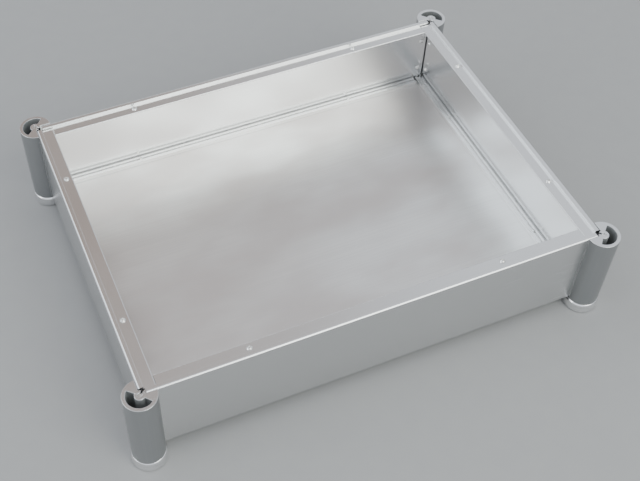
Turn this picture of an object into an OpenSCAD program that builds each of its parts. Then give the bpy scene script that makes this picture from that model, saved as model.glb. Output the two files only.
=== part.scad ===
// Open rectangular aluminium tray on four round corner posts.
// The walls are extruded sections with a lid ledge at the top and a screw rail at
// the bottom. Each post is an extruded round section with its inner quarter cut away,
// where two walls meet it, and it stands on a turned foot.
// +X runs along the long side to the right, +Y to the back and +Z up. The origin is
// at the centre of the tray, on the surface that it stands on.

/* [Tray] */
// Distance between the post axes along the long side, and the tray's outside length
tray_length = 400; // [280:1:520]
// Distance between the post axes along the short side, and the tray's outside width
tray_width = 300; // [220:1:400]
// Height of the walls' lower edge above the surface
wall_bottom = 11; // [10.5:0.5:16]
// Height of the whole tray, to the top of the walls and posts
total_height = 90; // [80:1:120]
// Thickness of the walls
wall_thickness = 4.6; // [4:0.1:5]

/* [Lid ledge and screw rail] */
// Depth of the recess that a lid plate would lie in
lid_recess = 2.3; // [1:0.1:4]
// Reach of the ledge, from the wall's outer face inwards
ledge_reach = 14.4; // [13.2:0.1:16]
// Reach of the rail, from the wall's outer face inwards
rail_reach = 12.7; // [11.5:0.1:13.2]
// Thickness of the ledge
ledge_thickness = 1.8; // [1.5:0.1:3]
// Height of the rail's top above the floor
rail_height = 4.7; // [4:0.1:7]
// Distance of the screw line from the wall's outer face
screw_line = 9; // [8.6:0.1:9.4]
// Width of the slot along the screw line
rail_slot_width = 1.8; // [1.2:0.1:2.2]

/* [Floor] */
// Height of the floor's upper face above the surface
floor_top = 17.3; // [16.5:0.1:20]
// Thickness of the floor plate
floor_thickness = 3; // [1.5:0.5:4]

/* [Posts] */
// Outer diameter of the posts
post_diameter = 27.6; // [26.4:0.2:29]
// Outer diameter of the screw port in the middle of a post
port_outer_diameter = 8.6; // [7.6:0.2:9]
// Bore of the screw port
port_bore = 3.6; // [3.2:0.1:4]
// Thickness of the round outer wall of a post
post_wall = 2.9; // [2.4:0.1:3.4]

/* [Feet] */
// Outer diameter of the feet
foot_diameter = 30; // [29.5:0.5:36]
// Height of the feet
foot_height = 10; // [9:0.5:10]
// How far the soft pad stands out below the foot
pad_proud = 0.5; // [0.5:0.1:1]
// Diameter of the soft pad
pad_diameter = 24; // [20:0.5:26]

/* [Screws] */
// Diameter of the small screws
screw_diameter = 2.9; // [2.5:0.1:3]
// Head diameter of the small screws
screw_head_diameter = 5; // [4.6:0.1:5.5]
// Distance of the ledge and floor screws from the middle of the long sides
long_side_screw_offset = 110; // [60:1:120]
// Distance of the ledge and floor screws from the middle of the short sides
short_side_screw_offset = 80; // [40:1:90]
// Distance of the corner screws from the post axis, along the wall
corner_screw_inset = 10.5; // [10:0.1:11]
// Distance of the corner screws above and below the middle of the wall
corner_screw_rise = 17; // [10:1:20]

/* [Hidden] */

$fn = 64;

// Cuts run past the faces they open by this much
overcut = 1;
// Radial gap between a screw and its hole
screw_fit = 0.05;
// Radial gap where a screw passes freely through a plate or wall
free_fit = 0.2;

wall_height = total_height - wall_bottom;
post_height = total_height - foot_height;
half_length = tray_length / 2;
half_width = tray_width / 2;

// The walls' ends stop short of the post axes, clear of the screw port by this much
port_clearance = 1.3;
end_gap = port_outer_diameter / 2 + port_clearance;
// Outer edges of the walls are rounded
edge_round = 1.8;
// The ledges' inner edges are rounded too
ledge_round = 0.8;
// The ledges and rails of the long walls stop this far from the ledges of the short walls
mitre_gap = 0.3;

// Heights inside the wall section, from the wall's lower edge
rail_low = floor_top - wall_bottom;
rail_top = rail_low + rail_height;
rail_web = 2.9;
ledge_top = wall_height - lid_recess;
ledge_low = ledge_top - ledge_thickness;
// Width of the groove between the wall and the rail's outer rib
rail_wall_groove = 1.3;

// A post's hollow crescent ends on both sides at this angle from the outward diagonal
crescent_half_angle = 87;
// Width of the slit that opens the screw port towards the inside of the tray
port_slit = 1.4;

// The foot is straight up to this height and rounds in to the post's diameter above it
foot_straight = 6.5;
foot_edge = 0.5;
pad_thickness = 2;
// Radial gap round the foot screw where it passes through the foot
foot_screw_gap = 0.5;
// The lower end of the port is opened up by this much for the foot screw, to this depth
foot_screw_step = 0.7;
foot_screw_bore_depth = 13;
foot_screw_bore = port_bore + foot_screw_step;
foot_screw_diameter = foot_screw_bore - 2 * screw_fit;
foot_screw_head_diameter = 8.6;
foot_screw_head_height = 2.6;
foot_screw_reach = 16;
foot_counterbore_top = 5.2;

// Clearance round the floor plate's edges
floor_gap = 0.3;

// Depth of a blind hole beyond the end of its screw
hole_end_gap = 0.4;
head_height = 1.6;
// Slotted screw in the top of each port: its length, how far it is sunk, and its slot
port_screw_length = 8;
port_screw_sunk = 0.4;
port_screw_slot = 0.6;
port_screw_slot_depth = 0.9;
socket_width = 2;
socket_depth = 0.9;
ledge_screw_reach = 6;
corner_screw_bite = 4.6;

aluminium = [0.72, 0.74, 0.74];
post_grey = [0.62, 0.64, 0.64];
polished = [0.9, 0.9, 0.91];
zinc = [0.8, 0.8, 0.8];
pad_black = [0.08, 0.08, 0.08];

// A square of the edge radius with its round part removed, for rounding an outer corner
module edge_cut(radius) {
    difference() {
        translate([-overcut, -overcut]) square(radius + overcut);
        translate([radius, radius]) circle(r = radius);
    }
}

// Wall section: x runs inwards from the outer face and y up from the lower edge
module wall_section() {
    difference() {
        square([wall_thickness, wall_height]);
        edge_cut(edge_round);
        translate([0, wall_height]) mirror([0, 1]) edge_cut(edge_round);
    }
}

// Ledge and rail section, on the inside of the wall. The rail is a web with two ribs,
// and the floor screws bite into the slot between the ribs.
module ledge_section() {
    reach = ledge_reach - wall_thickness;
    difference() {
        translate([wall_thickness, ledge_low]) square([reach, ledge_thickness]);
        translate([ledge_reach, ledge_top]) rotate(180) edge_cut(ledge_round);
    }
}

module rail_section() {
    reach = rail_reach - wall_thickness;
    difference() {
        translate([wall_thickness, rail_low]) square([reach, rail_height]);
        translate([wall_thickness, rail_low + rail_web]) square([rail_wall_groove, rail_height]);
        translate([screw_line - rail_slot_width / 2, rail_low + rail_web])
            square([rail_slot_width, rail_height]);
    }
}

// Runs a section along +Y over the given length, centred, with its outer face at x = 0
module run_along(length) {
    translate([0, length / 2, 0]) rotate([90, 0, 0]) linear_extrude(length) children();
}

// Holes through the ledge and the rail on the screw line
module screw_line_holes(offset) {
    for (side = [-1, 1])
        translate([screw_line, side * offset, 0]) {
            translate([0, 0, ledge_low - overcut])
                cylinder(r = screw_diameter / 2 + screw_fit, h = ledge_thickness + 2 * overcut);
            translate([0, 0, rail_low - overcut])
                cylinder(r = screw_diameter / 2 + screw_fit, h = rail_height + 2 * overcut);
        }
}

// Holes near the wall's ends for the screws into the posts
module corner_screw_holes(span) {
    for (end = [-1, 1], rise = [-1, 1]) {
        along = end * (span / 2 - corner_screw_inset);
        translate([-overcut, along, wall_height / 2 + rise * corner_screw_rise])
            rotate([0, 90, 0])
                cylinder(r = screw_diameter / 2 + free_fit, h = wall_thickness + 2 * overcut);
    }
}

// One wall. span is the distance between its post axes, and ledge_inset is how far
// from those axes its ledge and rail end.
module wall(span, ledge_inset, screw_offset) {
    difference() {
        union() {
            run_along(span - 2 * end_gap) wall_section();
            run_along(span - 2 * ledge_inset) {
                ledge_section();
                rail_section();
            }
        }
        screw_line_holes(screw_offset);
        corner_screw_holes(span);
    }
}

module long_wall() {
    wall(tray_length, ledge_reach + mitre_gap, long_side_screw_offset);
}

module short_wall() {
    wall(tray_width, end_gap, short_side_screw_offset);
}

// Each wall's place: its outer face lies on the plane of the post axes
module at_left() { translate([-half_length, 0, wall_bottom]) children(); }
module at_right() { translate([half_length, 0, wall_bottom]) rotate([0, 0, 180]) children(); }
module at_front() { translate([0, -half_width, wall_bottom]) rotate([0, 0, 90]) children(); }
module at_back() { translate([0, half_width, wall_bottom]) rotate([0, 0, -90]) children(); }

module front_panel() { color(aluminium) at_front() long_wall(); }
module back_panel() { color(aluminium) at_back() long_wall(); }
module left_panel() { color(aluminium) at_left() short_wall(); }
module right_panel() { color(aluminium) at_right() short_wall(); }

// A post's section, with the tray towards +X and +Y from its axis
module post_section() {
    outer = post_diameter / 2;
    inner = outer - post_wall;
    port = port_outer_diameter / 2;
    far = 2 * post_diameter;
    // Half-plane edges of the crescent, measured from the outward diagonal at 225 degrees
    first_edge = 225 - crescent_half_angle;
    last_edge = 225 + crescent_half_angle;
    difference() {
        union() {
            difference() {
                circle(r = outer);
                square(far);
                // the hollow crescent
                difference() {
                    circle(r = inner);
                    polygon([
                        [0, 0],
                        far * [cos(last_edge), sin(last_edge)],
                        [far, far],
                        far * [cos(first_edge), sin(first_edge)]
                    ]);
                }
            }
            circle(r = port);
        }
        circle(r = port_bore / 2);
        rotate(45) translate([0, -port_slit / 2]) square([far, port_slit]);
    }
}

// Tapped holes in a post for the two walls' screws
module post_screw_holes() {
    depth = corner_screw_bite + hole_end_gap;
    for (rise = [-1, 1]) {
        height = wall_bottom + wall_height / 2 + rise * corner_screw_rise;
        translate([corner_screw_inset, -depth, height])
            rotate([-90, 0, 0])
                cylinder(r = screw_diameter / 2 + screw_fit, h = depth + overcut);
        translate([-depth, corner_screw_inset, height])
            rotate([0, 90, 0])
                cylinder(r = screw_diameter / 2 + screw_fit, h = depth + overcut);
    }
}

module post() {
    difference() {
        translate([0, 0, foot_height]) linear_extrude(post_height) post_section();
        translate([0, 0, foot_height - overcut])
            cylinder(d = foot_screw_bore, h = foot_screw_bore_depth + overcut);
        post_screw_holes();
    }
}

// Half section of the foot: straight side, rounded shoulder, and a recess below for the pad
module foot_section() {
    foot_radius = foot_diameter / 2;
    inset = foot_radius - post_diameter / 2;
    rise = foot_height - foot_straight;
    shoulder = (inset * inset + rise * rise) / (2 * inset);
    difference() {
        union() {
            translate([0, pad_proud]) square([foot_radius, foot_straight - pad_proud]);
            intersection() {
                translate([0, foot_straight]) square([foot_radius, rise]);
                translate([foot_radius - shoulder, foot_straight]) circle(r = shoulder, $fn = 180);
            }
        }
        square([pad_diameter / 2, pad_thickness]);
        square([foot_screw_head_diameter / 2 + free_fit, foot_counterbore_top]);
        square([foot_screw_diameter / 2 + foot_screw_gap, foot_height + overcut]);
        polygon([
            [foot_radius - foot_edge - overcut, pad_proud - overcut],
            [foot_radius + foot_edge, pad_proud - overcut],
            [foot_radius + foot_edge, pad_proud + 2 * foot_edge]
        ]);
    }
}

module foot() {
    rotate_extrude() foot_section();
}

module foot_pad() {
    cylinder(d = pad_diameter, h = pad_thickness);
}

// A button head with a hexagon socket, its underside at z = 0
module button_head(diameter, height) {
    dome = (diameter * diameter / 4 + height * height) / (2 * height);
    difference() {
        intersection() {
            cylinder(d = diameter, h = height);
            translate([0, 0, height - dome]) sphere(r = dome);
        }
        translate([0, 0, height - socket_depth]) cylinder(d = socket_width / cos(30), h = height, $fn = 6);
    }
}

// A small screw: head above z = 0 and shank below
module small_screw(reach) {
    button_head(screw_head_diameter, head_height);
    translate([0, 0, -reach]) cylinder(d = screw_diameter, h = reach);
}

// Screw that holds a foot to its post, pointing up from the foot's counterbore
module foot_screw() {
    translate([0, 0, foot_counterbore_top]) {
        cylinder(d = foot_screw_diameter, h = foot_screw_reach);
        mirror([0, 0, 1]) button_head(foot_screw_head_diameter, foot_screw_head_height);
    }
}

// Slotted set screw in the top of a post's port
module port_screw() {
    top = total_height - port_screw_sunk;
    difference() {
        translate([0, 0, top - port_screw_length])
            cylinder(d = port_bore - 2 * screw_fit, h = port_screw_length);
        rotate(-45)
            translate([-port_bore, -port_screw_slot / 2, top - port_screw_slot_depth])
                cube([2 * port_bore, port_screw_slot, port_screw_slot_depth + overcut]);
    }
}

// Two screws down through the ledge of a wall
module ledge_screws(offset) {
    for (side = [-1, 1])
        translate([screw_line, side * offset, ledge_top]) small_screw(ledge_screw_reach);
}

// Two screws up through the floor plate into the rail of a wall
module floor_screws(offset) {
    for (side = [-1, 1])
        translate([screw_line, side * offset, rail_low - floor_thickness])
            mirror([0, 0, 1]) small_screw(floor_thickness + rail_height - hole_end_gap);
}

// Screws of one corner, two through each of its walls, with the tray towards +X and +Y
module corner_screws() {
    reach = wall_thickness + corner_screw_bite;
    for (rise = [-1, 1]) {
        height = wall_bottom + wall_height / 2 + rise * corner_screw_rise;
        translate([corner_screw_inset, wall_thickness, height])
            rotate([-90, 0, 0]) small_screw(reach);
        translate([wall_thickness, corner_screw_inset, height])
            rotate([0, 90, 0]) small_screw(reach);
    }
}

module floor_plate() {
    length = tray_length - 2 * (wall_thickness + floor_gap);
    width = tray_width - 2 * (wall_thickness + floor_gap);
    color(aluminium)
    difference() {
        translate([-length / 2, -width / 2, floor_top - floor_thickness])
            cube([length, width, floor_thickness]);
        for (x = [-1, 1], y = [-1, 1]) {
            translate([x * long_side_screw_offset, y * (half_width - screw_line), 0])
                cylinder(r = screw_diameter / 2 + free_fit, h = total_height);
            translate([x * (half_length - screw_line), y * short_side_screw_offset, 0])
                cylinder(r = screw_diameter / 2 + free_fit, h = total_height);
        }
    }
}

// Corners: children are drawn for the front left corner and mirrored to the others
module at_corner(right, back) {
    translate([right ? half_length : -half_length, back ? half_width : -half_width, 0])
        mirror([right ? 1 : 0, 0, 0])
            mirror([0, back ? 1 : 0, 0])
                children();
}

module post_front_left() { color(post_grey) at_corner(false, false) post(); }
module post_front_right() { color(post_grey) at_corner(true, false) post(); }
module post_back_left() { color(post_grey) at_corner(false, true) post(); }
module post_back_right() { color(post_grey) at_corner(true, true) post(); }

module foot_front_left() { color(polished) at_corner(false, false) foot(); }
module foot_front_right() { color(polished) at_corner(true, false) foot(); }
module foot_back_left() { color(polished) at_corner(false, true) foot(); }
module foot_back_right() { color(polished) at_corner(true, true) foot(); }

module foot_screw_front_left() { color(zinc) at_corner(false, false) foot_screw(); }
module foot_screw_front_right() { color(zinc) at_corner(true, false) foot_screw(); }
module foot_screw_back_left() { color(zinc) at_corner(false, true) foot_screw(); }
module foot_screw_back_right() { color(zinc) at_corner(true, true) foot_screw(); }

module foot_pad_front_left() { color(pad_black) at_corner(false, false) foot_pad(); }
module foot_pad_front_right() { color(pad_black) at_corner(true, false) foot_pad(); }
module foot_pad_back_left() { color(pad_black) at_corner(false, true) foot_pad(); }
module foot_pad_back_right() { color(pad_black) at_corner(true, true) foot_pad(); }

module port_screw_front_left() { color(zinc) at_corner(false, false) port_screw(); }
module port_screw_front_right() { color(zinc) at_corner(true, false) port_screw(); }
module port_screw_back_left() { color(zinc) at_corner(false, true) port_screw(); }
module port_screw_back_right() { color(zinc) at_corner(true, true) port_screw(); }

module corner_screws_front_left() { color(zinc) at_corner(false, false) corner_screws(); }
module corner_screws_front_right() { color(zinc) at_corner(true, false) corner_screws(); }
module corner_screws_back_left() { color(zinc) at_corner(false, true) corner_screws(); }
module corner_screws_back_right() { color(zinc) at_corner(true, true) corner_screws(); }

module ledge_screws_front() { color(zinc) at_front() ledge_screws(long_side_screw_offset); }
module ledge_screws_back() { color(zinc) at_back() ledge_screws(long_side_screw_offset); }
module ledge_screws_left() { color(zinc) at_left() ledge_screws(short_side_screw_offset); }
module ledge_screws_right() { color(zinc) at_right() ledge_screws(short_side_screw_offset); }

module floor_screws_front() { color(zinc) at_front() floor_screws(long_side_screw_offset); }
module floor_screws_back() { color(zinc) at_back() floor_screws(long_side_screw_offset); }
module floor_screws_left() { color(zinc) at_left() floor_screws(short_side_screw_offset); }
module floor_screws_right() { color(zinc) at_right() floor_screws(short_side_screw_offset); }

front_panel();
back_panel();
left_panel();
right_panel();
post_front_left();
post_front_right();
post_back_left();
post_back_right();
foot_front_left();
foot_front_right();
foot_back_left();
foot_back_right();
foot_screw_front_left();
foot_screw_front_right();
foot_screw_back_left();
foot_screw_back_right();
foot_pad_front_left();
foot_pad_front_right();
foot_pad_back_left();
foot_pad_back_right();
port_screw_front_left();
port_screw_front_right();
port_screw_back_left();
port_screw_back_right();
floor_plate();
ledge_screws_front();
ledge_screws_back();
ledge_screws_left();
ledge_screws_right();
floor_screws_front();
floor_screws_back();
floor_screws_left();
floor_screws_right();
corner_screws_front_left();
corner_screws_front_right();
corner_screws_back_left();
corner_screws_back_right();
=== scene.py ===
"""Open aluminium tray: four extruded walls between round corner posts on turned feet.

The walls, posts and floor plate are made without screw holes, so the shanks of the button-head
screws run inside their meshes.
"""

import math

import bmesh
import bpy
from mathutils import Matrix, Vector
from mathutils.geometry import tessellate_polygon


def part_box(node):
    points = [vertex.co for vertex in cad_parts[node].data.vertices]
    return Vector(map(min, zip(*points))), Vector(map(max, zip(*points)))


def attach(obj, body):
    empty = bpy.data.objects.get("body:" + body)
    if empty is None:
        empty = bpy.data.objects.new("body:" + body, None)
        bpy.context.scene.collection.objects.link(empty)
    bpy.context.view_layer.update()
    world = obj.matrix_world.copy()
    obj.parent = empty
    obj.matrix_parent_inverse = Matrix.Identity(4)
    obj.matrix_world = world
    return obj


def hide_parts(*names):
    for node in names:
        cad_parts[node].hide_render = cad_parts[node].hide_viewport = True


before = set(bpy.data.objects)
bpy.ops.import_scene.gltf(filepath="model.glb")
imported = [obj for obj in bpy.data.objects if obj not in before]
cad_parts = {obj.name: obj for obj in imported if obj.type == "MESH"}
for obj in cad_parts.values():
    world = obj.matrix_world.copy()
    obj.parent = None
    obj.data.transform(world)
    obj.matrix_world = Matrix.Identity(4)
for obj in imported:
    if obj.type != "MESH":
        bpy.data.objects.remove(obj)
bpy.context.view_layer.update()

MM = 0.001
CORNERS = ("front_left", "front_right", "back_left", "back_right")
SIDES = ("front", "back", "left", "right")

# Wall extrusion, in millimetres from its outer face inwards and from its lower edge up
WALL_THICKNESS = 4.6
WALL_EDGE_ROUND = 1.8
LID_RECESS = 2.3
LEDGE_REACH = 14.4
LEDGE_EDGE_ROUND = 0.8
RAIL_REACH = 12.7
LEDGE_THICKNESS = 1.8
RAIL_HEIGHT = 4.7
RAIL_WEB = 2.9
RAIL_GROOVE = 1.3
RAIL_SLOT = 1.8
SCREW_LINE = 9.0
EXTRUSION_ROUND = 0.25
SLOT_OPENING = 3.1
SLOT_STEPS = 10
MITRE_GAP = 0.3
PORT_CLEARANCE = 1.3

# Post extrusion
POST_RADIUS = 13.8
POST_WALL = 2.9
PORT_RADIUS = 4.3
PORT_BORE_RADIUS = 1.8
PORT_SLIT = 1.4
CRESCENT_START = 138
CRESCENT_END = 312
POST_EDGE = 0.3
POST_CORNER_ROUND = 0.3
HOLLOW_CORNER_ROUND = 0.6

# Foot and pad
FOOT_RADIUS = 15.0
FOOT_BOTTOM = 0.5
FOOT_STRAIGHT = 6.5
FOOT_HEIGHT = 10.0
FOOT_CHAMFER = 0.5
FOOT_EDGE_ROUND = 0.3
FOOT_BORE_RADIUS = 2.6
COUNTERBORE_RADIUS = 4.5
COUNTERBORE_TOP = 5.2
PAD_RADIUS = 12.0
PAD_THICKNESS = 2.0
PAD_SIDE_GAP = 0.05
PAD_TOP_GAP = 0.02
PAD_RINGS = 3
PAD_BORDER = 2.0
PAD_GROOVE = 0.25
PAD_EDGE_ROUND = 0.3
PAD_GROOVE_ROUND = 0.1

# Floor plate
PLATE_EDGE_ROUND = 0.3

# Screws
SCREW_RADIUS = 1.45
SCREW_HEAD_RADIUS = 2.5
SCREW_HEAD_HEIGHT = 1.6
SCREW_SOCKET = 1.0
SCREW_SOCKET_DEPTH = 0.9
LEDGE_SCREW_LENGTH = 6.0
FLOOR_SCREW_LENGTH = 7.3
CORNER_SCREW_LENGTH = 9.2
THREAD_PITCH = 0.5
THREAD_DEPTH = 0.22
FOOT_BOLT_RADIUS = 2.1
FOOT_BOLT_HEAD_RADIUS = 4.3
FOOT_BOLT_HEAD_HEIGHT = 2.6
FOOT_BOLT_LENGTH = 16.0
FOOT_BOLT_SOCKET = 1.25
FOOT_BOLT_SOCKET_DEPTH = 1.2
LONG_SIDE_SPACING = 220.0
SHORT_SIDE_SPACING = 160.0
CORNER_SCREW_INSET = 10.5
CORNER_SCREW_SPACING = 34.0
PORT_SCREW_RADIUS = 1.75
PORT_SCREW_LENGTH = 8.0
PORT_SCREW_SUNK = 0.4
PORT_SCREW_SLOT = 0.6
PORT_SCREW_SLOT_DEPTH = 0.9
PORT_SCREW_EDGE = 0.12

# Added to a row's own seed, so that each kind of row is turned differently
FLOOR_ROW_SEED = 10
FOOT_BOLT_SEED = 20

# The table top lies this far under the pads, so that no two faces share a plane
TABLE_GAP = 0.05

# Radius of the table top, in metres
TABLE_RADIUS = 6.0

# An outline has a true corner where it turns by at least this many degrees
TRUE_CORNER = 20.0

# Smooth shading breaks where faces meet at more than this many degrees
SHARP_EDGE = 40.0

# The most of a side that the rounding at one of its ends takes up
ROUNDING_SHARE = 0.45

# Points closer than the first are merged, edges shorter than the second are dropped, and
# lengths closer than the third are the same
SAME_POINT = 0.0005
SHORTEST_EDGE = 0.0001
SAME_LENGTH = 0.001

# Sides of the round pieces
ROUND_STEPS = 96
PAD_STEPS = 72
SCREW_STEPS = 36

# Height of the finest etched grain, in metres
GRAIN_DEPTH = 0.0000012


# ---------------------------------------------------------------- finishes

class Wire:
    """A node's output that takes part in plain arithmetic; each sum adds its Math node."""

    def __init__(self, bench, socket):
        self.bench = bench
        self.socket = socket

    def __add__(self, other):
        return self.bench.math("ADD", self, other)

    def __radd__(self, other):
        return self.bench.math("ADD", other, self)

    def __sub__(self, other):
        return self.bench.math("SUBTRACT", self, other)

    def __rsub__(self, other):
        return self.bench.math("SUBTRACT", other, self)

    def __mul__(self, other):
        return self.bench.math("MULTIPLY", self, other)

    def __rmul__(self, other):
        return self.bench.math("MULTIPLY", other, self)

    def clamp(self):
        return self.bench.math("ADD", self, 0.0, clamp=True)

    def beside(self, output):
        """Another output of the same node."""
        return Wire(self.bench, self.socket.node.outputs[output])


class Bench:
    """Builds the nodes of a material, of the sky or of a tree of its own."""

    def __init__(self, owner):
        self.owner = owner
        self.tree = owner
        if not isinstance(owner, bpy.types.NodeTree):
            owner.use_nodes = True
            self.tree = owner.node_tree
        self.tree.nodes.clear()

    def node(self, kind, output=0, settings=None, numbered=None, **named):
        """Adds a node: its settings first, then the value or link of each socket. Sockets whose
        names repeat are given by number."""
        node = self.tree.nodes.new(kind)
        for key, value in (settings or {}).items():
            setattr(node, key, value)
        sockets = dict(numbered or {})
        sockets.update({name.replace("_", " "): value for name, value in named.items()})
        for key, value in sockets.items():
            if isinstance(value, Wire):
                self.tree.links.new(value.socket, node.inputs[key])
            else:
                node.inputs[key].default_value = value
        return Wire(self, node.outputs[output]) if len(node.outputs) else None

    def math(self, operation, first, second, clamp=False):
        return self.node("ShaderNodeMath", numbered={0: first, 1: second},
                         settings={"operation": operation, "use_clamp": clamp})

    def along_the_run(self, along, around):
        """Coordinates that follow a section: along its length, then round its outline."""
        run = self.node("ShaderNodeUVMap", settings={"uv_map": "run"})
        return self.node("ShaderNodeMapping", Vector=run, Scale=(along, around, 1.0))

    def in_the_tray(self, x, y, z):
        """Coordinates fixed in the tray, with a scale for each axis."""
        place = self.node("ShaderNodeTexCoord", output="Object")
        return self.node("ShaderNodeMapping", Vector=place, Scale=(x, y, z))

    def evenly(self, scale):
        """Coordinates fixed in the tray, with one scale."""
        return self.in_the_tray(scale, scale, scale)

    def noise(self, vector, detail, roughness=0.5):
        return self.node("ShaderNodeTexNoise", Vector=vector, Scale=1.0,
                         Detail=detail, Roughness=roughness)

    def mark(self, name):
        """A value that each point of the mesh carries."""
        return self.node("ShaderNodeAttribute", output="Fac", settings={"attribute_name": name})

    def spread(self, value, low, high):
        """Maps low..high of a value onto 0..1, held at both ends."""
        return self.node("ShaderNodeMapRange", settings={"interpolation_type": "SMOOTHSTEP"},
                         Value=value, From_Min=low, From_Max=high)

    def tint(self, factor, first, second):
        return self.node("ShaderNodeMix", output=2, settings={"data_type": "RGBA"},
                         numbered={0: factor, 6: first, 7: second})

    def relief(self, height, depth, under=None):
        """A bump whose full height is depth metres, laid over another if one is given."""
        below = {} if under is None else {"Normal": under}
        return self.node("ShaderNodeBump", Height=height, Distance=depth, Strength=1.0, **below)

    def surface(self, **sockets):
        shader = self.node("ShaderNodeBsdfPrincipled", **sockets)
        self.node("ShaderNodeOutputMaterial", Surface=shader)
        return self.owner


def colour(red, green, blue):
    return (red, green, blue, 1.0)


def drawn_aluminium(name, tone, shade, gloss, die_depth):
    """Satin anodised extrusion: die lines along its length, a fine etched grain, edges painted
    brighter as rubbed wear and as a painted highlight, and a rougher surface down in its
    hollow, where the colour is painted lighter to lift its shade."""
    b = Bench(bpy.data.materials.new(name))
    die_lines = b.noise(b.along_the_run(3.0, 900.0), detail=3.0)
    hair_lines = b.noise(b.along_the_run(14.0, 4200.0), detail=2.0)
    grain = b.noise(b.evenly(5200.0), detail=1.0)
    handling = b.noise(b.in_the_tray(7.0, 7.0, 9.0), detail=2.0)
    # Rounded edges, thinned by handling: partly rubbed wear, partly a painted highlight
    worn_and_painted_highlight = b.spread(b.mark("edge") * (0.6 + 0.8 * handling), 0.35, 0.95)
    hollow = b.mark("inside")
    cloud = b.spread(handling, 0.3, 0.7)
    base = b.tint(b.spread(die_lines, 0.3, 0.7), shade, tone)
    base = b.tint(0.5 * cloud, base, shade)
    # Rounded edges tinted light grey: partly rubbed wear, partly a painted highlight along them
    base = b.tint(0.6 * worn_and_painted_highlight, base, colour(0.9, 0.9, 0.9))
    # Painted light: down in a hollow the colour is painted lighter to lift its shade; the rougher
    # finish there is real
    base = b.tint(hollow, base, colour(0.52, 0.53, 0.53))
    rough = gloss + 0.05 * (cloud - 0.5) + 0.05 * (hair_lines - 0.5) - 0.1 * worn_and_painted_highlight + 0.3 * hollow
    lines = b.relief(die_lines * 0.6 + hair_lines * 0.4, die_depth)
    skin = b.relief(grain, GRAIN_DEPTH, under=lines)
    return b.surface(Base_Color=base, Metallic=1.0, Roughness=rough.clamp(), Normal=skin)


def satin_sheet(name):
    """Satin sheet: fine rolling lines, soft cloudy patches whose colour is partly a painted
    reflection, and the slight waviness of plate.
    """
    b = Bench(bpy.data.materials.new(name))
    rolling = b.noise(b.in_the_tray(5.0, 1300.0, 40.0), detail=3.0)
    grain = b.noise(b.evenly(3600.0), detail=1.0)
    clouds = b.noise(b.in_the_tray(7.0, 14.0, 4.0), detail=3.0)
    wave = b.noise(b.in_the_tray(6.0, 11.0, 3.0), detail=1.5)
    patch_and_painted_reflection = b.spread(clouds, 0.36, 0.66)
    # Cloudy patches: partly the sheet's own patchy tone, partly painted reflection in warm and
    # bright colour
    base = b.tint(patch_and_painted_reflection, colour(0.67, 0.635, 0.615), colour(0.87, 0.88, 0.87))
    base = b.tint(0.25 * b.spread(rolling, 0.35, 0.65), base, colour(0.66, 0.66, 0.66))
    rough = 0.40 - 0.07 * patch_and_painted_reflection + 0.04 * (rolling - 0.5)
    waviness = b.relief(wave, 0.0024)
    lines = b.relief(rolling, 0.0000022, under=waviness)
    skin = b.relief(grain, GRAIN_DEPTH, under=lines)
    return b.surface(Base_Color=base, Metallic=1.0, Roughness=rough.clamp(), Normal=skin)


def turned_bright(name):
    """Turned and polished aluminium: faint tool rings and a few hairline marks."""
    b = Bench(bpy.data.materials.new(name))
    rings = b.noise(b.along_the_run(2600.0, 2.0), detail=2.0)
    marks = b.noise(b.in_the_tray(70.0, 70.0, 500.0), detail=5.0, roughness=0.7)
    dull = b.spread(marks, 0.5, 0.75)
    base = b.tint(dull, colour(0.91, 0.91, 0.915), colour(0.78, 0.78, 0.78))
    rough = 0.09 + 0.14 * dull + 0.05 * rings
    return b.surface(Base_Color=base, Metallic=1.0, Roughness=rough.clamp(),
                     Normal=b.relief(rings, 0.0000016))


def zinc_steel(name):
    """Bright zinc plate on small steel screws."""
    b = Bench(bpy.data.materials.new(name))
    bloom = b.noise(b.evenly(420.0), detail=4.0, roughness=0.6)
    pits = b.noise(b.evenly(5200.0), detail=2.0)
    dull = b.spread(bloom, 0.4, 0.7)
    base = b.tint(dull, colour(0.83, 0.83, 0.82), colour(0.68, 0.67, 0.63))
    rough = 0.16 + 0.18 * dull
    return b.surface(Base_Color=base, Metallic=1.0, Roughness=rough.clamp(),
                     Normal=b.relief(pits, 0.0000022))


def pad_rubber(name):
    """Matt black rubber with a faint moulded texture."""
    b = Bench(bpy.data.materials.new(name))
    texture = b.noise(b.evenly(2400.0), detail=3.0)
    dust = b.noise(b.evenly(160.0), detail=4.0, roughness=0.65)
    base = b.tint(b.spread(dust, 0.45, 0.8), colour(0.022, 0.022, 0.023),
                  colour(0.075, 0.072, 0.068))
    rough = 0.72 + 0.2 * b.spread(dust, 0.4, 0.7)
    return b.surface(Base_Color=base, Roughness=rough.clamp(), Normal=b.relief(texture, 0.00003))


def table_paint(name):
    """Plain pale table top."""
    b = Bench(bpy.data.materials.new(name))
    speckle = b.noise(b.evenly(60.0), detail=3.0)
    base = b.tint(speckle, colour(0.31, 0.31, 0.31), colour(0.33, 0.33, 0.325))
    return b.surface(Base_Color=base, Roughness=0.85, Specular_IOR_Level=0.2)


# ---------------------------------------------------------------- shapes

def arc(centre, radius, start, end, steps):
    """Points on an arc, from the start angle to the end angle in degrees."""
    points = []
    for i in range(steps + 1):
        angle = math.radians(start + (end - start) * i / steps)
        points.append(Vector((centre[0] + radius * math.cos(angle),
                              centre[1] + radius * math.sin(angle))))
    return points


def turn(before, point, after):
    """How far an outline turns at a point, in degrees."""
    first, second = point - before, after - point
    return math.degrees(first.angle(second))


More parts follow.
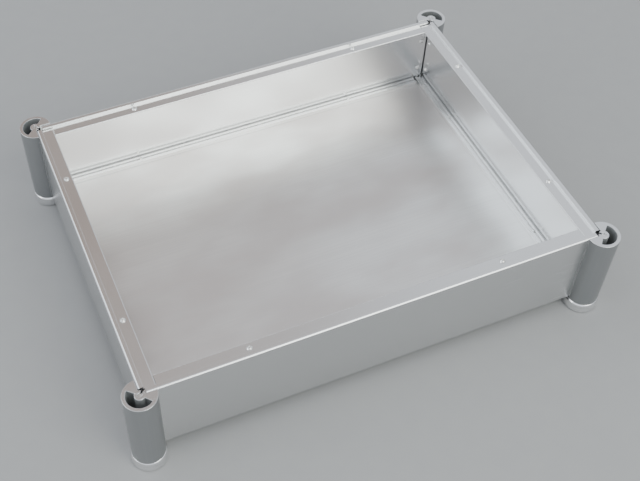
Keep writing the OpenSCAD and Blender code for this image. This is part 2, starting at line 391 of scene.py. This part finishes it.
def soften(outline, radius_at, steps=3):
    """Rounds the true corners of a closed outline. Returns its points, and for each whether it
    lies on a rounding."""
    points, rounded = [], []
    count = len(outline)
    for i, point in enumerate(outline):
        before, after = outline[i - 1], outline[(i + 1) % count]
        angle = turn(before, point, after)
        if angle < TRUE_CORNER:
            points.append(point)
            rounded.append(False)
            continue
        radius = radius_at(point)
        back, ahead = before - point, after - point
        half = math.radians(180.0 - angle) / 2.0
        reach = radius / math.tan(half)
        limit = ROUNDING_SHARE * min(back.length, ahead.length)
        if reach > limit:
            reach = limit
            radius = reach * math.tan(half)
        back.normalize()
        ahead.normalize()
        middle = point + (back + ahead).normalized() * (radius / math.sin(half))
        first = point + back * reach - middle
        sweep = first.angle_signed(point + ahead * reach - middle)
        for k in range(steps + 1):
            spoke = first.copy()
            spoke.rotate(Matrix.Rotation(-sweep * k / steps, 2))
            points.append(middle + spoke)
            rounded.append(True)
    return points, rounded


def inset(outline, distance):
    """Moves a closed outline inwards, with its solid side on the left."""
    moved = []
    count = len(outline)
    for i, point in enumerate(outline):
        first = (point - outline[i - 1]).normalized()
        second = (outline[(i + 1) % count] - point).normalized()
        one, two = Vector((first.y, -first.x)), Vector((second.y, -second.x))
        moved.append(point - (one + two) * (distance / (1.0 + one.dot(two))))
    return moved


class Shell:
    """A closed mesh built in millimetres. The map 'run' follows each face along and round its
    section; 'edge' is 1 on rounded edges, and 'inside' is 1 down in a hollow."""

    def __init__(self):
        self.bm = bmesh.new()
        self.run = self.bm.loops.layers.uv.new("run")
        self.edge = self.bm.verts.layers.float.new("edge")
        self.inside = self.bm.verts.layers.float.new("inside")

    def ring(self, points, edges, inside=False):
        verts = []
        for point, on_edge in zip(points, edges):
            vert = self.bm.verts.new(point)
            vert[self.edge] = float(on_edge)
            vert[self.inside] = float(inside)
            verts.append(vert)
        return verts

    def face(self, verts, runs):
        face = self.bm.faces.new(verts)
        for loop, run in zip(face.loops, runs):
            loop[self.run].uv = (run[0] * MM, run[1] * MM)

    def band(self, low, high, low_run, high_run, girth):
        """Faces between two closed rings of the same number of points."""
        count = len(low)
        for i in range(count):
            j = (i + 1) % count
            self.face((low[i], low[j], high[j], high[i]),
                      ((low_run, girth[i]), (low_run, girth[i + 1]),
                       (high_run, girth[i + 1]), (high_run, girth[i])))

    def tube(self, rings, runs, girth):
        """Faces between each closed ring and the next."""
        for k in range(len(rings) - 1):
            self.band(rings[k], rings[k + 1], runs[k], runs[k + 1], girth)

    def cap(self, rings):
        """Closes the end of a section: its outline comes first, then any hole in it."""
        verts = [vert for ring in rings for vert in ring]
        flat = [[vert.co for vert in ring] for ring in rings]
        for triangle in tessellate_polygon(flat):
            corners = [verts[k] for k in triangle]
            self.face(corners, [(v.co.x + v.co.z, v.co.y) for v in corners])

    def mesh(self, name):
        """The closed mesh, with its faces all turned one way. The back wall's come out inwards."""
        bmesh.ops.recalc_face_normals(self.bm, faces=self.bm.faces)
        mesh = bpy.data.meshes.new(name)
        self.bm.to_mesh(mesh)
        self.bm.free()
        return mesh

    def piece(self, name, material, place):
        """The finished object: at the origin, with its place in its mesh."""
        bmesh.ops.remove_doubles(self.bm, verts=self.bm.verts, dist=SAME_POINT)
        self.bm.transform(place)
        return finished(name, self.mesh(name), material)


def shade(mesh):
    """Smooth shading that breaks at true edges."""
    mesh.shade_smooth()
    mesh.set_sharp_from_angle(angle=math.radians(SHARP_EDGE))


def finished(name, mesh, material):
    """Gives a mesh its material and clean shading, and puts it in the scene."""
    mesh.materials.clear()
    mesh.materials.append(material)
    shade(mesh)
    piece = bpy.data.objects.new(name, mesh)
    bpy.context.scene.collection.objects.link(piece)
    weighted = piece.modifiers.new("flat_faces_stay_flat", "WEIGHTED_NORMAL")
    weighted.keep_sharp = True
    piece.data = plain_mesh(piece)
    piece.modifiers.clear()
    bpy.data.meshes.remove(mesh)
    piece.data.name = name
    return piece


def plain_mesh(piece):
    """A plain mesh of an object as its modifiers leave it."""
    bpy.context.view_layer.update()
    evaluated = piece.evaluated_get(bpy.context.evaluated_depsgraph_get())
    return bpy.data.meshes.new_from_object(evaluated)


def girth_of(points):
    """Distance round a closed outline to each of its points, and all the way round."""
    total, out = 0.0, [0.0]
    for i in range(len(points)):
        total += (points[(i + 1) % len(points)] - points[i]).length
        out.append(total)
    return out


def lathe(shell, profile, edges, steps):
    """Turns a closed profile of radius and height about the Z axis."""
    girth = girth_of(profile)
    rings = []
    for k in range(steps):
        angle = 2 * math.pi * k / steps
        points = [(p.x * math.cos(angle), p.x * math.sin(angle), p.y) for p in profile]
        rings.append(shell.ring(points, edges))
    count = len(profile)
    for k in range(steps):
        here, there = rings[k], rings[(k + 1) % steps]
        low, high = (2 * math.pi * POST_RADIUS * side / steps for side in (k, k + 1))
        for i in range(count):
            j = (i + 1) % count
            shell.face((here[i], there[i], there[j], here[j]),
                       ((girth[i], low), (girth[i], high),
                        (girth[i + 1], high), (girth[i + 1], low)))


# ---------------------------------------------------------------- places

def corner_axis(corner):
    """The x and y of a corner post's axis."""
    low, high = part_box("foot_" + corner)
    return (low.x + high.x) / 2, (low.y + high.y) / 2


def corner_place(corner, height=0.0):
    """Local axes at a corner post's axis, at a height in millimetres."""
    x, y = corner_axis(corner)
    return Matrix.Translation((x, y, height * MM)) @ Matrix.Scale(MM, 4)


def tray_side(corner):
    """Which way the tray lies from a corner, along x and along y."""
    return -1 if corner.endswith("right") else 1, -1 if corner.startswith("back") else 1


def wall_place(side):
    """Local x runs along the wall, y inwards from its outer face, z up from its lower edge."""
    low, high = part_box(side + "_panel")
    angle, x, y = {"front": (0, 0, low.y), "back": (180, 0, high.y),
                   "left": (-90, low.x, 0), "right": (90, high.x, 0)}[side]
    return (Matrix.Translation((x, y, low.z)) @ Matrix.Rotation(math.radians(angle), 4, "Z")
            @ Matrix.Scale(MM, 4))


front_low, front_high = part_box("front_panel")
plate_low, plate_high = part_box("floor_plate")
half_length, half_width = (-value / MM for value in corner_axis("front_left"))
wall_height = (front_high.z - front_low.z) / MM
rail_low = (plate_high.z - front_low.z) / MM
rail_top = rail_low + RAIL_HEIGHT
web_top = rail_low + RAIL_WEB
ledge_top = wall_height - LID_RECESS
ledge_low = ledge_top - LEDGE_THICKNESS
tray_top = front_high.z / MM


# ---------------------------------------------------------------- walls

def wall_outline(slot_half):
    """The wall's section. The third value of each point says what it belongs to."""
    t, reach, rail = WALL_THICKNESS, LEDGE_REACH, RAIL_REACH
    rib = t + RAIL_GROOVE
    return [
        (0, 0, "plate"), (t, 0, "plate"),
        (t, rail_low, "rail"), (rail, rail_low, "rail"), (rail, rail_top, "rail"),
        (SCREW_LINE + slot_half, rail_top, "rail"), (SCREW_LINE + slot_half, web_top, "rail"),
        (SCREW_LINE - slot_half, web_top, "rail"), (SCREW_LINE - slot_half, rail_top, "rail"),
        (rib, rail_top, "rail"), (rib, web_top, "rail"), (t, web_top, "rail"),
        (t, ledge_low, "ledge"), (reach, ledge_low, "ledge"), (reach, ledge_top, "ledge"),
        (t, ledge_top, "ledge"),
        (t, wall_height, "plate"), (0, wall_height, "plate"),
    ]


def wall_section(slot_half):
    """Rounded section points, whether each is on an edge, and its part of the wall."""
    outline = wall_outline(slot_half)
    corners = [Vector(entry[:2]) for entry in outline]
    points, edges, parts = [], [], []
    for i, (s, z, part) in enumerate(outline):
        before, after = corners[i - 1], corners[(i + 1) % len(corners)]
        radius, steps = EXTRUSION_ROUND, 3
        if s == 0:
            radius, steps = WALL_EDGE_ROUND, 8
        if (s, z) == (LEDGE_REACH, ledge_top):
            radius, steps = LEDGE_EDGE_ROUND, 6
        bend = soften([before, corners[i], after], lambda p: radius, steps)[0]
        keep = bend[steps + 1:2 * (steps + 1)]
        points += keep
        edges += [True] * len(keep)
        parts += [part] * len(keep)
    return points, edges, parts


def slot_half_width(distance):
    """The rail's slot widens round a floor screw."""
    opening = SLOT_OPENING / 2
    if abs(distance) >= opening:
        return RAIL_SLOT / 2
    return max(RAIL_SLOT / 2, math.sqrt(opening ** 2 - distance ** 2))


def wall(side, spacing, half_span, ledge_inset, material):
    """One wall. Its ledge and rail end ledge_inset from the posts' axes, and its plate ends just
    short of their ports."""
    wall_end = half_span - PORT_RADIUS - PORT_CLEARANCE
    ledge_end = half_span - ledge_inset
    stations = [-ledge_end, ledge_end]
    for screw in (-spacing / 2, spacing / 2):
        for k in range(-SLOT_STEPS, SLOT_STEPS + 1):
            stations.append(screw + SLOT_OPENING / 2 * math.sin(math.pi / 2 * k / SLOT_STEPS))
    stations.sort()
    shell = Shell()
    base, edges, parts = wall_section(RAIL_SLOT / 2)
    girth = girth_of(base)
    rings = []
    for x in stations:
        off = min(abs(x - spacing / 2), abs(x + spacing / 2))
        points = wall_section(slot_half_width(off))[0]
        rings.append(shell.ring([(x, p.x, p.y) for p in points], edges))
    shell.tube(rings, stations, girth)
    if wall_end - ledge_end < SAME_LENGTH:
        shell.cap([rings[0]])
        shell.cap([rings[-1]])
        return shell.piece("extruded_wall_" + side, material, wall_place(side))
    for sign, ring in ((-1, rings[0]), (1, rings[-1])):
        plate = [i for i, part in enumerate(parts) if part == "plate"]
        for part in ("rail", "ledge"):
            own = [i for i, other in enumerate(parts) if other == part]
            plate += [own[0], own[-1]]
            cut = [ring[i] for i in own]
            shell.face(cut, [(v.co.y, v.co.z) for v in cut])
        plate.sort()
        end = shell.ring([(sign * wall_end, base[i].x, base[i].y) for i in plate],
                         [edges[i] for i in plate])
        shell.band([ring[i] for i in plate], end, sign * ledge_end, sign * wall_end,
                   [girth[i] for i in plate] + [girth[-1]])
        shell.cap([end])
    return shell.piece("extruded_wall_" + side, material, wall_place(side))


# ---------------------------------------------------------------- posts

def post_outlines():
    """Section of the front left post, with the tray towards +x and +y from its axis."""
    slit = PORT_SLIT / 2
    at_port = math.degrees(math.asin(slit / PORT_RADIUS))
    at_bore = math.degrees(math.asin(slit / PORT_BORE_RADIUS))
    origin = (0, 0)
    outer = arc(origin, POST_RADIUS, 90, 360, steps=96)
    outer += arc(origin, PORT_RADIUS, 0, 45 - at_port, steps=6)
    outer += arc(origin, PORT_BORE_RADIUS, 45 - at_bore, 45 + at_bore - 360, steps=28)
    outer += arc(origin, PORT_RADIUS, 45 + at_port, 90, steps=6)
    hollow = arc(origin, POST_RADIUS - POST_WALL, CRESCENT_END, CRESCENT_START, steps=64)
    hollow += arc(origin, PORT_RADIUS, CRESCENT_START, CRESCENT_END, steps=32)
    return outer, hollow


def post(corner, material):
    """One corner post, its cut ends lightly broken all round."""
    across, along = tray_side(corner)
    loops = []
    for outline, radius in zip(post_outlines(), (POST_CORNER_ROUND, HOLLOW_CORNER_ROUND)):
        points, edges = soften(outline, lambda p: radius)
        points = [Vector((p.x * across, p.y * along)) for p in points]
        if across * along < 0:
            points.reverse()
            edges.reverse()
        loops.append((points, edges))
    steps = 3
    levels = []
    for k in range(steps + 1):
        angle = math.pi / 2 * (1 - k / steps)
        levels.append((FOOT_HEIGHT + POST_EDGE * (1 - math.sin(angle)),
                       POST_EDGE * (1 - math.cos(angle))))
    levels += [(FOOT_HEIGHT + tray_top - z, gap) for z, gap in reversed(levels)]
    shell = Shell()
    bottom, top = [], []
    for in_hollow, (points, edges) in zip((False, True), loops):
        rings = []
        for z, gap in levels:
            on_edge = [gap > 0 or edge for edge in edges]
            # Only what lies past the broken edges counts as inside the hollow
            rings.append(shell.ring([(p.x, p.y, z) for p in inset(points, gap)], on_edge,
                                    inside=in_hollow and gap < POST_EDGE / 3))
        shell.tube(rings, [z for z, gap in levels], girth_of(points))
        bottom.append(rings[0])
        top.append(rings[-1])
    shell.cap(bottom)
    shell.cap(top)
    return shell.piece("corner_post_" + corner, material, corner_place(corner))


# ---------------------------------------------------------------- feet

def foot(corner, material):
    """Turned foot with a rounded shoulder, a recess for its pad and a counterbore for its screw."""
    narrow = FOOT_RADIUS - POST_RADIUS
    rise = FOOT_HEIGHT - FOOT_STRAIGHT
    shoulder = (narrow ** 2 + rise ** 2) / (2 * narrow)
    sweep = math.degrees(math.asin(rise / shoulder))
    profile = [Vector(p) for p in (
        (PAD_RADIUS, PAD_THICKNESS), (PAD_RADIUS, FOOT_BOTTOM),
        (FOOT_RADIUS - FOOT_CHAMFER, FOOT_BOTTOM), (FOOT_RADIUS, FOOT_BOTTOM + FOOT_CHAMFER))]
    profile += arc((FOOT_RADIUS - shoulder, FOOT_STRAIGHT), shoulder, 0, sweep, steps=10)
    profile += [Vector(p) for p in (
        (FOOT_BORE_RADIUS, FOOT_HEIGHT), (FOOT_BORE_RADIUS, COUNTERBORE_TOP),
        (COUNTERBORE_RADIUS, COUNTERBORE_TOP), (COUNTERBORE_RADIUS, PAD_THICKNESS))]
    points, edges = soften(profile, lambda p: FOOT_EDGE_ROUND)
    shell = Shell()
    lathe(shell, points, edges, ROUND_STEPS)
    return shell.piece("turned_foot_" + corner, material, corner_place(corner))


def pad(corner, material):
    """Rubber disc under a foot, with shallow rings moulded in its face."""
    side, top, groove = PAD_RADIUS - PAD_SIDE_GAP, PAD_THICKNESS - PAD_TOP_GAP, PAD_GROOVE
    pitch = (PAD_RADIUS - PAD_BORDER) / (PAD_RINGS + 1)
    profile = [(0.0, 0.0)]
    for k in range(1, PAD_RINGS + 1):
        middle = pitch * k + PAD_BORDER / 2
        profile += [(middle - 2 * groove, 0.0), (middle - groove, groove),
                    (middle + groove, groove), (middle + 2 * groove, 0.0)]
    profile += [(side, 0.0), (side, top), (0.0, top)]

    def radius_at(p):
        return PAD_EDGE_ROUND if p.x > PAD_RADIUS / 2 else PAD_GROOVE_ROUND

    points, edges = soften([Vector(p) for p in profile], radius_at, steps=2)
    points = [Vector((max(p.x, 0.0), p.y)) for p in points]
    shell = Shell()
    lathe(shell, points, edges, PAD_STEPS)
    return shell.piece("foot_disc_" + corner, material, corner_place(corner))


# ---------------------------------------------------------------- floor

def floor_sheet(material):
    """The floor plate, the edges along its length lightly broken."""
    size = plate_high - plate_low
    long, wide, thick = size.x / MM, size.y / MM, size.z / MM
    section = [Vector(p) for p in ((0, 0), (wide, 0), (wide, thick), (0, thick))]
    points, edges = soften(section, lambda p: PLATE_EDGE_ROUND)
    shell = Shell()
    rings = [shell.ring([(x, p.x, p.y) for p in points], edges) for x in (0.0, long)]
    shell.band(rings[0], rings[1], 0.0, long, girth_of(points))
    for ring in rings:
        shell.cap([ring])
    place = Matrix.Translation(plate_low) @ Matrix.Scale(MM, 4)
    return shell.piece("satin_floor", material, place)


# ---------------------------------------------------------------- screws

def screw_rings(head_radius, head_height, shank_radius, length, socket, depth):
    """Rings of a button-head screw from the middle of its socket to its tip: each one's radius
    and height, and whether it follows the socket's hexagon."""
    dome = (head_radius ** 2 + head_height ** 2) / (2 * head_height)
    drill_point, rim, lip, thread_start, tip = 0.25, 0.12, 0.12, 0.1, 0.4

    def dome_height(radius):
        return head_height - dome + math.sqrt(dome ** 2 - radius ** 2)

    socket_floor = head_height - depth
    socket_corner = socket * 1.13
    top = dome_height(socket_corner)
    brow = socket_corner * 1.08
    rings = [(0.0, socket_floor - drill_point, False), (socket * 0.97, socket_floor, True),
             (socket, socket_floor + 0.1, True), (socket, top - rim, True),
             (socket * 1.05, top - rim / 6, True), (brow, top, False)]
    steps = 7
    for k in range(1, steps + 1):
        radius = brow + (head_radius * 0.985 - brow) * k / steps
        rings.append((radius, dome_height(radius), False))
    rings += [(head_radius, lip, False), (head_radius - 0.08, 0.0, False),
              (shank_radius, 0.0, False)]
    for k in range(int((length - 0.6) / THREAD_PITCH)):
        z = -thread_start - k * THREAD_PITCH
        rings += [(shank_radius, z, False),
                  (shank_radius - THREAD_DEPTH, z - THREAD_PITCH / 2, False)]
    rings += [(shank_radius - 0.1, -length + tip, False), (shank_radius - tip, -length, False),
              (0.0, -length, False)]
    return rings


def hexagon_radius(flat, angle):
    """Distance from the middle of a hexagon to its outline, from its distance to a flat."""
    return flat / math.cos(math.radians((math.degrees(angle) + 30) % 60 - 30))


def screw_pattern(name, head_radius, head_height, shank_radius, length, socket, depth):
    """One screw with its head up, to be set out in rows."""
    steps = SCREW_STEPS
    shell = Shell()
    rings, path, total, last = [], [], 0.0, None
    for radius, z, hexagon in screw_rings(head_radius, head_height, shank_radius, length,
                                          socket, depth):
        points = []
        for k in range(steps):
            angle = 2 * math.pi * k / steps
            r = hexagon_radius(radius, angle) if hexagon else radius
            points.append((r * math.cos(angle), r * math.sin(angle), z))
        if last is not None:
            total += math.hypot(radius - last[0], z - last[1])
        last = (radius, z)
        path.append(total)
        rings.append(shell.ring(points, [False] * steps))
    shell.tube(rings, path, [2 * math.pi * head_radius * k / steps for k in range(steps + 1)])
    bmesh.ops.remove_doubles(shell.bm, verts=shell.bm.verts, dist=SAME_POINT)
    bmesh.ops.dissolve_degenerate(shell.bm, edges=shell.bm.edges, dist=SHORTEST_EDGE)
    mesh = shell.mesh(name)
    shade(mesh)
    pattern = bpy.data.objects.new(name, mesh)
    bpy.context.scene.collection.objects.link(pattern)
    return pattern


def small_screw(name, length):
    """One of the tray's small button-head screws."""
    return screw_pattern(name, SCREW_HEAD_RADIUS, SCREW_HEAD_HEIGHT, SCREW_RADIUS, length,
                         SCREW_SOCKET, SCREW_SOCKET_DEPTH)


def port_screw(corner, material):
    """Slotted set screw in the top of a post's port, its edges lightly broken."""
    origin = (0, 0)
    half = math.degrees(math.asin(PORT_SCREW_SLOT / 2 / PORT_SCREW_RADIUS))
    cheeks = [arc(origin, PORT_SCREW_RADIUS, start + half, start + 180 - half, steps=16)
              for start in (0, 180)]
    ends = [arc(origin, PORT_SCREW_RADIUS, start - half, start + half, steps=4)
            for start in (0, 180)]
    around = cheeks[0] + ends[1][1:-1] + cheeks[1] + ends[0][1:-1]
    top = tray_top - PORT_SCREW_SUNK
    slot_floor = top - PORT_SCREW_SLOT_DEPTH
    low = top - PORT_SCREW_LENGTH
    point = 3 * PORT_SCREW_EDGE
    shell = Shell()

    def level(points, z, gap=0.0):
        moved = inset(points, gap) if gap else points
        return shell.ring([(p.x, p.y, z) for p in moved], [gap > 0] * len(points))

    rings = [level(around, low, point), level(around, low + point), level(around, slot_floor)]
    shell.tube(rings, [low, low + point, slot_floor], girth_of(around))
    shell.cap([rings[0]])
    shell.cap([level(ends[0] + ends[1], slot_floor)])
    shoulder = top - PORT_SCREW_EDGE
    for cheek in cheeks:
        rings = [level(cheek, slot_floor), level(cheek, shoulder),
                 level(cheek, top, PORT_SCREW_EDGE)]
        shell.tube(rings, [slot_floor, shoulder, top], girth_of(cheek))
        shell.cap([rings[2]])
    across, along = tray_side(corner)
    place = corner_place(corner) @ Matrix.Rotation(math.radians(-45 * across * along), 4, "Z")
    return shell.piece("slotted_screw_" + corner, material, place)


def row_tree():
    """Sets a number of screws in a straight row, each turned by its own amount."""
    tree = bpy.data.node_groups.new("screw_row", "GeometryNodeTree")
    sockets = tree.interface
    sockets.new_socket(name="Geometry", in_out="OUTPUT", socket_type="NodeSocketGeometry")
    for name, kind in (("Screw", "NodeSocketObject"), ("Count", "NodeSocketInt"),
                       ("Spacing", "NodeSocketFloat"), ("Size", "NodeSocketFloat"),
                       ("Turn seed", "NodeSocketInt"), ("Material", "NodeSocketMaterial")):
        sockets.new_socket(name=name, in_out="INPUT", socket_type=kind)
    b = Bench(tree)
    given = b.node("NodeGroupInput")
    count, size = given.beside("Count"), given.beside("Size")
    step = b.node("ShaderNodeCombineXYZ", X=given.beside("Spacing"))
    start = b.node("ShaderNodeVectorMath", settings={"operation": "SCALE"},
                   numbered={0: step}, Scale=(count - 1.0) * -0.5)
    line = b.node("GeometryNodeMeshLine", Count=count, Start_Location=start, Offset=step)
    turned = b.node("FunctionNodeRandomValue", output=1, settings={"data_type": "FLOAT"},
                    numbered={2: 0.0, 3: 2 * math.pi}, Seed=given.beside("Turn seed"))
    screw = b.node("GeometryNodeObjectInfo", output="Geometry", Object=given.beside("Screw"))
    placed = b.node("GeometryNodeInstanceOnPoints", Points=line, Instance=screw,
                    Rotation=b.node("ShaderNodeCombineXYZ", Z=turned),
                    Scale=b.node("ShaderNodeCombineXYZ", X=size, Y=size, Z=size))
    real = b.node("GeometryNodeRealizeInstances", Geometry=placed)
    dressed = b.node("GeometryNodeSetMaterial", Geometry=real, Material=given.beside("Material"))
    b.node("NodeGroupOutput", Geometry=dressed)
    return tree


def screw_row(tree, pattern, count, spacing, seed, material, place):
    """A plain mesh of one row of screws, in its place."""
    holder = bpy.data.objects.new("row", bpy.data.meshes.new("row"))
    bpy.context.scene.collection.objects.link(holder)
    modifier = holder.modifiers.new("row", "NODES")
    modifier.node_group = tree
    sizes = {"Screw": pattern, "Count": count, "Spacing": spacing, "Size": 1.0,
             "Turn seed": seed, "Material": material}
    for item in tree.interface.items_tree:
        if item.in_out == "INPUT":
            modifier[item.identifier] = sizes[item.name]
    mesh = plain_mesh(holder)
    bpy.data.objects.remove(holder)
    mesh.transform(place)
    return mesh


def joined(name, meshes, material):
    """Several plain meshes as one finished piece."""
    bm = bmesh.new()
    for mesh in meshes:
        bm.from_mesh(mesh)
        bpy.data.meshes.remove(mesh)
    bmesh.ops.recalc_face_normals(bm, faces=bm.faces)
    mesh = bpy.data.meshes.new(name)
    bm.to_mesh(mesh)
    bm.free()
    return finished(name, mesh, material)


def row_place(side, x, y, z, head):
    """A row's place in a wall: its middle and its heads' direction are in the wall's own axes."""
    turns = {"up": Matrix.Identity(4),
             "down": Matrix.Rotation(math.pi, 4, "X"),
             "inwards": Matrix(((0, 1, 0, 0), (0, 0, 1, 0), (1, 0, 0, 0), (0, 0, 0, 1)))}
    return wall_place(side) @ Matrix.Translation((x, y, z)) @ turns[head]


def carry(piece, slot, *nodes):
    """The piece stands for its CAD nodes and moves with the tray."""
    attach(piece, "root")
    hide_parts(*nodes)


# ---------------------------------------------------------------- assembly

wall_finish = drawn_aluminium("wall_aluminium_satin", tone=colour(0.525, 0.53, 0.525),
                              shade=colour(0.50, 0.505, 0.50), gloss=0.34, die_depth=0.0000011)
# The posts' tone, darker than the walls', is painted shade standing in for the dark surroundings
# they reflect
post_finish_painted_shade = drawn_aluminium("post_aluminium_satin", tone=colour(0.41, 0.42, 0.425),
                              shade=colour(0.39, 0.40, 0.405), gloss=0.32, die_depth=0.0000007)
floor_finish = satin_sheet("floor_aluminium_satin")
foot_finish = turned_bright("foot_polished")
screw_finish = zinc_steel("screw_zinc")
rubber_finish = pad_rubber("pad_rubber_black")

# Each wall's screw spacing, half the distance between its posts' axes, and its ledge's inset
long_wall = (LONG_SIDE_SPACING, half_length, LEDGE_REACH + MITRE_GAP)
short_wall = (SHORT_SIDE_SPACING, half_width, PORT_RADIUS + PORT_CLEARANCE)
spans = {"front": long_wall, "back": long_wall, "left": short_wall, "right": short_wall}
for side in SIDES:
    carry(wall(side, *spans[side], wall_finish), "wall_aluminium", side + "_panel")

for corner in CORNERS:
    carry(post(corner, post_finish_painted_shade), "post_aluminium", "post_" + corner)
    carry(foot(corner, foot_finish), "polished_foot", "foot_" + corner)
    carry(pad(corner, rubber_finish), "pad_rubber", "foot_pad_" + corner)
    carry(port_screw(corner, screw_finish), "screw_steel", "port_screw_" + corner)

carry(floor_sheet(floor_finish), "floor_aluminium", "floor_plate")

rows = row_tree()
ledge_screw = small_screw("ledge_screw", LEDGE_SCREW_LENGTH)
floor_screw = small_screw("floor_screw", FLOOR_SCREW_LENGTH)
corner_screw = small_screw("corner_screw", CORNER_SCREW_LENGTH)
foot_bolt = screw_pattern("foot_bolt", FOOT_BOLT_HEAD_RADIUS, FOOT_BOLT_HEAD_HEIGHT,
                          FOOT_BOLT_RADIUS, FOOT_BOLT_LENGTH, FOOT_BOLT_SOCKET,
                          FOOT_BOLT_SOCKET_DEPTH)
plate_bottom = (plate_low.z - front_low.z) / MM
seed = 0
for side in SIDES:
    spacing = spans[side][0]
    seed += 1
    top_row = screw_row(rows, ledge_screw, 2, spacing, seed, screw_finish,
                        row_place(side, 0, SCREW_LINE, ledge_top, "up"))
    carry(joined("ledge_screw_pair_" + side, [top_row], screw_finish),
          "screw_steel", "ledge_screws_" + side)
    bottom_row = screw_row(rows, floor_screw, 2, spacing, seed + FLOOR_ROW_SEED, screw_finish,
                           row_place(side, 0, SCREW_LINE, plate_bottom, "down"))
    carry(joined("floor_screw_pair_" + side, [bottom_row], screw_finish),
          "screw_steel", "floor_screws_" + side)

# Which end of each wall's own x axis lies at a corner
wall_ends = {("front", "left"): -1, ("front", "right"): 1,
             ("back", "left"): 1, ("back", "right"): -1,
             ("left", "front"): 1, ("left", "back"): -1,
             ("right", "front"): -1, ("right", "back"): 1}
for corner in CORNERS:
    seed += 1
    row, column = corner.split("_")
    meshes = []
    for side, other in ((row, column), (column, row)):
        x = wall_ends[side, other] * (spans[side][1] - CORNER_SCREW_INSET)
        place = row_place(side, x, WALL_THICKNESS, wall_height / 2, "inwards")
        meshes.append(screw_row(rows, corner_screw, 2, CORNER_SCREW_SPACING, seed, screw_finish,
                                place))
    carry(joined("corner_screw_set_" + corner, meshes, screw_finish),
          "screw_steel", "corner_screws_" + corner)
    place = corner_place(corner, COUNTERBORE_TOP) @ Matrix.Rotation(math.pi, 4, "X")
    bolt = screw_row(rows, foot_bolt, 1, 0.0, seed + FOOT_BOLT_SEED, screw_finish, place)
    carry(joined("foot_bolt_" + corner, [bolt], screw_finish),
          "screw_steel", "foot_screw_" + corner)

for pattern in (ledge_screw, floor_screw, corner_screw, foot_bolt):
    mesh = pattern.data
    bpy.data.objects.remove(pattern)
    bpy.data.meshes.remove(mesh)


# ---------------------------------------------------------------- studio

def table(radius):
    """Plain round table top, far wider than the tray."""
    mesh = bpy.data.meshes.new("table_top")
    bm = bmesh.new()
    bmesh.ops.create_circle(bm, cap_ends=True, radius=radius, segments=ROUND_STEPS)
    bm.to_mesh(mesh)
    bm.free()
    top = bpy.data.objects.new("table_top", mesh)
    top.location.z = -TABLE_GAP * MM
    mesh.materials.append(table_paint("table_pale"))
    bpy.context.scene.collection.objects.link(top)


def facing(azimuth, elevation):
    """A direction in degrees, its azimuth measured from +Y towards +X."""
    turn_round, lift = math.radians(azimuth), math.radians(elevation)
    return Vector((math.sin(turn_round) * math.cos(lift), math.cos(turn_round) * math.cos(lift),
                   math.sin(lift)))


def softbox(name, azimuth, elevation, distance, size, brightness, tone):
    """A large soft panel facing the tray. Its brightness is its radiance."""
    light = bpy.data.lights.new(name, "AREA")
    light.shape = "RECTANGLE"
    light.size, light.size_y = size
    light.energy = brightness * math.pi * size[0] * size[1]
    light.color = tone
    lamp = bpy.data.objects.new(name, light)
    direction = facing(azimuth, elevation)
    lamp.location = direction * distance
    lamp.rotation_euler = direction.to_track_quat("Z", "Y").to_euler()
    bpy.context.scene.collection.objects.link(lamp)


def sky(azimuth, elevation, edge, dim, bright):
    """Soft light from all round, dimmer and warmer round one direction. The edge of the dimmer
    part is given as the cosine of its angle from there."""
    b = Bench(bpy.data.worlds.new("studio_sky"))
    look = b.node("ShaderNodeTexCoord", output="Generated")
    towards = b.node("ShaderNodeVectorMath", output="Value", settings={"operation": "DOT_PRODUCT"},
                     numbered={0: look, 1: facing(azimuth, elevation)})
    light = b.tint(b.spread(towards, edge, 1.0), bright, dim)
    b.node("ShaderNodeOutputWorld", Surface=b.node("ShaderNodeBackground", Color=light))
    bpy.context.scene.world = b.owner


def camera(place, right, up, lens, shift):
    """Looks down over the front left corner. Its place is in metres, its lens in millimetres."""
    optics = bpy.data.cameras.new("camera")
    optics.sensor_width = 36.0
    optics.lens = lens
    optics.shift_x, optics.shift_y = shift
    optics.clip_start = 0.01
    view = bpy.data.objects.new("camera", optics)
    basis = Matrix((right, up, right.cross(up))).transposed().to_4x4()
    view.matrix_world = Matrix.Translation(place) @ basis
    bpy.context.scene.collection.objects.link(view)
    bpy.context.scene.camera = view


table(TABLE_RADIUS)
sky(azimuth=-1, elevation=50, edge=0.89,
    dim=colour(0.46, 0.37, 0.32), bright=colour(1.05, 1.11, 1.19))
softbox("panel_behind_left", azimuth=-46, elevation=48, distance=2.2, size=(1.2, 1.3),
        brightness=1.9, tone=(0.84, 0.93, 1.0))
softbox("panel_left", azimuth=-92, elevation=20, distance=2.4, size=(1.2, 1.2),
        brightness=3.5, tone=(0.97, 0.98, 1.0))
softbox("panel_front", azimuth=158, elevation=38, distance=2.2, size=(1.3, 2.0),
        brightness=4.0, tone=(0.97, 1.0, 0.94))
camera(place=(-0.270304, -0.559723, 0.761933), right=Vector((0.92413, -0.38207, 0.00122)),
       up=Vector((0.29390, 0.71289, 0.63671)), lens=59.869, shift=(0.08389, -0.00478))
